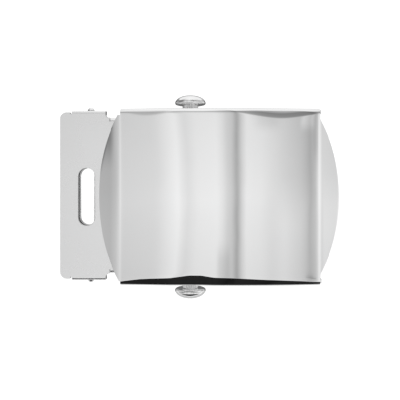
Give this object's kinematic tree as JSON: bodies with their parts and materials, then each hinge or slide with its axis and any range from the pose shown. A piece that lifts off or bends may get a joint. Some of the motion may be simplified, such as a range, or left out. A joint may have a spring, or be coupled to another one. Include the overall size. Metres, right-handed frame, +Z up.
{
  "type": "belt buckle",
  "caption": "Roller-lock buckle for a 32 mm web belt: bowed chrome face cover, slotted end plate with a toothed clamp, and a fluted roller with domed knobs.",
  "frame": {"origin": "middle of the belt's path behind the face, halfway between the two face folds and halfway up", "axes": "+X along the belt, away from the clamp end; +Z up as worn; the face looks towards -Y"},
  "size_m": [0.0589, 0.0127, 0.0422],
  "materials": {
    "polished_chrome": "polished, with fine lengthwise brushing",
    "satin_chrome": "satin"
  },
  "bodies": {
    "cover_and_frame": {"face_cover": "polished_chrome", "end_frame": "satin_chrome", "upper_clamp_pin": "satin_chrome", "lower_clamp_pin": "satin_chrome"},
    "clamp": {"clamp_jaw": "satin_chrome"},
    "roller_knobs": {"upper_knob": "polished_chrome", "lower_knob": "polished_chrome"},
    "roller": {"roller_bar": "satin_chrome"}
  },
  "joints": [
    {"name": "clamp_hinge", "type": "hinge", "parent": "cover_and_frame", "child": "clamp", "pos_m": [-0.0282, 0.0051, 0], "axis": [0, 0, -1], "range_deg": [0, 100]},
    {"name": "roller_slide", "type": "slide", "parent": "cover_and_frame", "child": "roller_knobs", "axis": [0.9272, -0.3746, 0], "range_m": [-0.0025, 0.003]},
    {"name": "roller_spin", "type": "hinge", "parent": "roller_knobs", "child": "roller", "pos_m": [-0.0061, -0.001, -0.0001], "axis": [0, 0, 1], "continuous": true}
  ]
}
